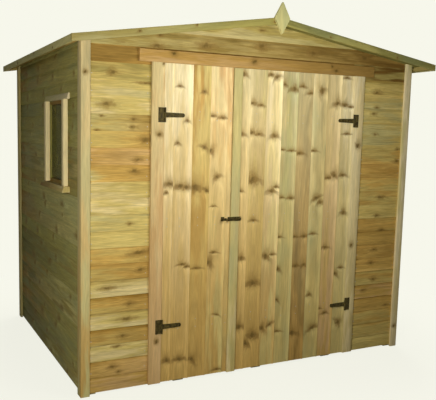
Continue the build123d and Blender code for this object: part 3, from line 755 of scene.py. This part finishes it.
# --- Ledges and braces behind the doors ---
ledges = []
for side in ("left", "right"):
    sticks = []
    for origin, outline, length in prisms(side + "_door_ledges", 1):
        # An outline's ways are up and along: ledges lie level, and are lower than any brace
        tall, wide = outline.max(0)
        if tall < 0.1:
            ledges.append(origin[2] + tall / 2)
            section = eased([(0, 0), (-tall, 0), (-tall, length), (0, length)])[::-1]
            tone, knots = pick("thsr"), scatter(0, wide, -tall, 0.5)
            sticks.append(stick(origin, X, -Z, Y, 0, wide, section, tone, knots))
            continue
        low, high = outline[outline[:, 0] < MM, 1], outline[outline[:, 0] > tall - MM, 1]
        lean, brace_w = high.min() - low.min(), np.ptp(low)
        length_up = math.hypot(lean, tall)
        place, way = origin + [low.min(), 0, 0], (lean / length_up, 0, tall / length_up)
        tone, knots = pick("thsr"), scatter(0, length_up, brace_w, 0.4)
        sticks.append(stick(place, way, X, Y, 0, length_up, batten(brace_w, length), tone, knots))
    node = side + "_door_ledges"
    timber(node + "_and_braces", side + "_door", sticks, framing_wood, node)
ledges = sorted({round(z, 4) for z in ledges})

# --- Window in the left wall ---
rail, bed, bed_depth = 30 * MM, 8 * MM, 12 * MM
sash_d, sash_w, sash_h = sash_box[1] - sash_box[0]
rebated = [(0, 0), (rail - bed, 0), (rail - bed, bed_depth), (rail, bed_depth), (rail, sash_d), (0, sash_d)]


def mitred(corner, along, across, length):
    """A rail of the sash. Its ends are cut at 45 degrees: further in by the distance across."""
    ends = (lambda w, t: w, lambda w, t: length - w)
    return stick(sash_box[0] + corner, along, across, X, *ends, rebated, "nb")


rails = [
    mitred([0, 0, 0], Y, Z, sash_w), mitred([0, 0, sash_h], Y, -Z, sash_w),
    mitred([0, 0, 0], Z, Y, sash_h), mitred([0, sash_w, 0], Z, -Y, sash_h),
]
timber("window_sash", "root", rails, trim_wood, "window_frame", smooth=30)
from_cad("window_side_battens", "window_trim", "Z", trim_wood, tone="pp", ease=3 * MM, knots=[])
# A thin weathered drip above and a sloping sill below, whose colours turn dark umber and moss soon after its
# front end: painted shade; top and low are how far out each is there
for node, new, top, low, tone in (
    ("window_drip", "window_drip_board", 0.25, 0.5, "kkll"),
    ("window_sill", "window_sill_board", 0.75, 1.0, "skun"),
):
    box = cad(node)
    wide, long, tall = box[1] - box[0]
    outline = eased([(0, wide * (1 - low)), (tall, wide * (1 - top)), (tall, wide), (0, wide)], 2 * MM)
    board = stick(box[0], Y, Z, X, 0, long, outline, tone, stain=0.1, fade=0.3)
    timber(new, "root", [board], trim_wood, node)

# --- Roofing felt: a sheet up each slope and a capping over the ridge, each lap a little proud ---
felt_half, felt_t = felt_box[1, 0], 2.5 * MM
laps = np.array([0, 0.19, 0.195, 0.62, 0.625, felt_half])
proud = np.array([2.5, 2.5, 1.9, 1.9, 1.3, 1.3]) * MM
xs = np.unique(np.concatenate([np.linspace(0, felt_half, 60), laps]))
across = np.concatenate([-xs[:0:-1], xs])
u, v = np.meshgrid(np.linspace(*felt_box[:, 1], 160), across, indexing="ij")
ripple = 0.25 * MM * (np.sin(9 * u + 3 * v) + np.sin(23 * u - 11 * v + 1) * np.cos(5 * v)) - 0.5 * MM
ripple *= np.clip(np.abs(v) / 0.1, 0, 1) * np.clip((felt_half - np.abs(v)) / 0.03, 0, 1)
under = np.stack([v, u, ridge - felt_t - fall * np.abs(v)], -1)
top = under + np.stack([0 * v, 0 * v, np.interp(np.abs(v), laps, proud) + ripple], -1)
felt_material, t = new_material("mineral_roofing_felt")
# Bitumen felt dressed with slate grit: dull dark green-grey, its grit of about 1.5 mm drawn at 4 mm to show
place = add(t, "TexCoord").outputs["Object"]
grit = add(t, "TexVoronoi", place, 260.0)
weather = add(t, "MapRange", add(t, "TexNoise", place, 3.0, 4.0), 0.4, 0.7, 0.0, 0.5)
shade = add(t, "Mix", grit.outputs["Distance"], rgba("4d524a"), rgba("30342e"), **COLOUR)
faded = add(t, "Mix", weather, shade, rgba("6a6d62"), **COLOUR)
relief = add(t, "Bump", 0.6, 0.001, None, grit.outputs["Distance"])
surface = {"Base Color": faded, "Roughness": 0.9, "Normal": relief, "Specular IOR Level": 0.3}
add(t, "OutputMaterial", add(t, "BsdfPrincipled", named=surface))
felt_tube = np.concatenate([top, under[:, ::-1]], 1)
build("roofing_felt_sheets", [felt_tube], "root", felt_material, "roof_felt", slot="roofing_felt")

# --- Nails. Galvanised steel: dull zinc grey ---
zinc, t = new_material("galvanised_steel_nails")
spangle = add(t, "TexNoise", add(t, "TexCoord").outputs["Object"], 300.0)
tint = add(t, "Mix", spangle, rgba("a3a39a"), rgba("c4c4bc"), **COLOUR)
surface = {"Base Color": tint, "Metallic": 0.9, "Roughness": 0.5}
add(t, "OutputMaterial", add(t, "BsdfPrincipled", named=surface))
# Heights and radii of the rings of a head, and its sides
CLOUT = ([0, MM, 1.4 * MM], [4 * MM, 4 * MM, 2.5 * MM], 7)
NAIL = ([0, 0.4 * MM, 0.7 * MM], [2.6 * MM, 2.6 * MM, 1.8 * MM], 6)
clouts, apart = [], 0.11
normal = np.array([fall, 0, 1]) / math.hypot(fall, 1)
# Rows of clouts 20 mm in from the edge of each sheet
for way in (-1, 1):
    for x in (laps[1] - 0.02, laps[3] - 0.02, felt_half - 0.02):
        z = ridge - felt_t - fall * x + np.interp(x, laps, proud) - 0.9 * MM
        for y in np.arange(felt_box[0, 1] + 0.04, felt_box[1, 1], apart):
            clouts.append(turned((way * x, y, z), normal * [way, 1, 1], *CLOUT))
build("clout_nails", clouts, "root", zinc)
# Wall boards are nailed at each upright, with the heads 0.3 mm deep in the wood
NAIL_UP, DEEP, FROM_CORNER = 30 * MM, 0.3 * MM, 50 * MM
nails, span, depth_span = [], half - FROM_CORNER, back_face - 60 * MM
for n in range(int((side_top - JOINT) / PITCH) - 1):
    z = JOINT + n * PITCH + NAIL_UP
    for x in (-span, -doorway - 0.1, doorway + 0.1, span):
        nails.append(turned((x, front_face + DEEP, z), -Y, *NAIL))
    for x in np.linspace(-span, span, 5):
        nails.append(turned((x, back_face - DEEP, z), Y, *NAIL))
    for side in (-1, 1):
        for y in np.linspace(-depth_span, depth_span, 4):
            on_window = (sash_box[0, 1:] < [y, z]).all() and ([y, z] < sash_box[1, 1:]).all()
            if side > 0 or not on_window:
                nails.append(turned((side * (half - DEEP), y, z), side * X, *NAIL))
build("wall_board_nails", nails, "root", zinc)
# Door boards are nailed twice at each ledge, with the heads 0.3 mm off the flat of the board
ON_FLAT = RECESS - 0.3 * MM
for side, leaf in leaves.items():
    nails, x = [], leaf[0, 0]
    for width, *_ in DOOR_BOARDS[side]:
        for z in ledges:
            for dz in (-0.025, 0.025):
                place = (x + 0.4 * width * MM, leaf[0, 1] + ON_FLAT, z + dz)
                nails.append(turned(place, -Y, *NAIL))
        x += width * MM
    build(side + "_door_nails", nails, side + "_door", zinc)

# --- Ironmongery: black japanned steel, with painted highlights: brown patches at random where it would catch the light ---
iron, t = new_material("black_japanned_steel")
place = add(t, "TexCoord").outputs["Object"]
mottle = add(t, "TexNoise", place, 60.0, 3.0)
# Brown patches by noise: a painted highlight
glint_patches = add(t, "MapRange", mottle, 0.4, 0.7, 0.0, 1.0)
coat = add(t, "Mix", glint_patches, rgba("332b12"), rgba("5c5028"), **COLOUR)
relief = add(t, "Bump", 0.25, 0.0005, None, add(t, "TexNoise", place, 400.0, 2.0))
gloss = add(t, "MapRange", mottle, 0.3, 0.7, 0.5, 0.7)
surface = {"Base Color": coat, "Roughness": gloss, "Normal": relief, "Specular IOR Level": 0.1}
add(t, "OutputMaterial", add(t, "BsdfPrincipled", named=surface))

# --- Glass: tinted green-grey so the room behind looks dark, painted shade, under a film of olive dust ---
glass, t = new_material("dusty_float_glass")
clear = {"Base Color": rgba("9aa878"), "Roughness": 0.02, "IOR": 1.02, "Transmission Weight": 1.0}
patchy = add(t, "TexNoise", add(t, "TexCoord").outputs["Object"], 9.0, 3.0)
dust = add(t, "MapRange", patchy, 0.3, 0.7, 0.15, 0.45)
pane = add(t, "MixShader", dust, add(t, "BsdfPrincipled", named=clear), add(t, "BsdfDiffuse", rgba("a79a5e")))
add(t, "OutputMaterial", pane)

# CAD meshes that show as they are
bare = ["hinge_plates", "left_door_straps", "right_door_straps", "latch_plate", "latch_bolt", "latch_keep"]
for node in bare:
    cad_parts[node].data.materials[0] = iron
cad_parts["window_glass"].data.materials[0] = glass

# --- Screws: on the hinges, 3 mm thick and level with the first and last ledge, and on the bolt's plate ---
DOME = ([0, 0.6 * MM, 1.4 * MM], [3.4 * MM, 3.0 * MM, 1.2 * MM])
SMALL_DOME = ([0, 0.5 * MM, MM], [2 * MM, 1.8 * MM, 0.8 * MM])
plate_edge, root_screws, leaf_screws = cad("hinge_plates")[1, 0], [], {"left": [], "right": []}
for (side, leaf), way in zip(leaves.items(), (-1, 1)):
    leaf_edge, face = np.abs(leaf[:, 0]).max(), leaf[0, 1] - 3 * MM
    for z in (ledges[0], ledges[-1]):
        # mm in from the edge of the plate or leaf, and up
        for inset, dz in ((16.5, -30), (12.5, 0), (16.5, 30)):
            place = (way * (plate_edge - inset * MM), face, z + dz * MM)
            root_screws.append(turned(place, -Y, *DOME))
        for inset in (18, 60, 108):
            leaf_screws[side].append(turned((way * (leaf_edge - inset * MM), face, z), -Y, *DOME))
latch = cad("latch_plate")
for dx in (28, 65):
    for dz in (-10, 10):
        place = (latch[0, 0] + dx * MM, strip[0, 1] - 2 * MM, latch[:, 2].mean() + dz * MM)
        leaf_screws["right"].append(turned(place, -Y, *SMALL_DOME))
build("hinge_plate_screws", root_screws, "root", iron, slot="black_iron")
build("left_strap_screws", leaf_screws["left"], "left_door", iron, slot="black_iron")
build("right_strap_and_bolt_screws", leaf_screws["right"], "right_door", iron, slot="black_iron")

# --- Stage: pale floor, pale surroundings ---
BACKDROP = rgba("f7f7eb")


def seen_directly(tree):
    """1 for a ray from the camera, a gloss or a glass, and 0 for one that gathers light for a surface."""
    rays = add(tree, "LightPath").outputs
    either = add(tree, "Math", rays["Is Camera Ray"], rays["Is Glossy Ray"], operation="MAXIMUM")
    return add(tree, "Math", either, rays["Is Transmission Ray"], operation="MAXIMUM")


floor_material, t = new_material("pale_floor")
away = add(t, "VectorMath", add(t, "TexCoord").outputs["Object"], (1, 1, 0), **TIMES)
away = add(t, "VectorMath", away, operation="LENGTH")
blend = add(t, "MapRange", away, 1.3, 2.6, 0.9, 1.0, **SMOOTH)
painted = add(t, "MixShader", blend, add(t, "BsdfDiffuse", BACKDROP), add(t, "Emission", BACKDROP, 1.0))
plain = add(t, "BsdfDiffuse", rgba("77766c"))
add(t, "OutputMaterial", add(t, "MixShader", seen_directly(t), plain, painted))
SIDES = 96
turns = np.linspace(0, 2 * np.pi, SIDES, endpoint=False)
angle, radius = np.meshgrid(turns, [0.01, 1, 2, 4, 7])
disc = np.stack([radius * np.cos(angle), radius * np.sin(angle), np.full(angle.shape, -0.0005)], -1)
mesh = bpy.data.meshes.new("floor")
faces = ring_faces(*disc.shape[:2]).reshape(-1, 4).tolist() + [list(range(SIDES))]
mesh.from_pydata(disc.reshape(-1, 3).tolist(), [], faces)
mesh.materials.append(floor_material)
floor = bpy.data.objects.new("floor", mesh)
bpy.context.scene.collection.objects.link(floor)

world = bpy.data.worlds.new("studio")
bpy.context.scene.world = world
world.use_nodes = True
t = world.node_tree
t.nodes.clear()
sky = add(t, "Mix", seen_directly(t), (0.03, 0.03, 0.028, 1), BACKDROP, **COLOUR)
add(t, "OutputWorld", add(t, "Background", sky, 1.0))


def lamp(name, kind, place, aim, size, power):
    """A soft lamp at place: a square AREA that faces aim, or a POINT globe."""
    light = bpy.data.lights.new(name, kind)
    light.energy = power
    setattr(light, "size" if kind == "AREA" else "shadow_soft_size", size)
    holder = bpy.data.objects.new(name, light)
    facing = (Vector(aim) - Vector(place)).to_track_quat("-Z", "Y").to_matrix().to_4x4()
    holder.matrix_world = Matrix.Translation(place) @ facing
    holder.visible_camera = False
    bpy.context.scene.collection.objects.link(holder)


lamp("key", "AREA", (-2.20, -3.08, 1.44), (0, -0.9, 1.1), 0.5, 47)
lamp("near", "POINT", (-0.11, -1.91, 1.69), (-0.15, -0.9, 1.5), 0.25, 38)
lamp("back", "AREA", (2.9, 3.4, 3.0), (0, 0, 1.0), 2.0, 150)
lamp("top", "AREA", (0.4, 1.2, 6.0), (0, 0.3, 2.0), 3.0, 260)

bpy.context.scene.view_settings.view_transform = "Standard"
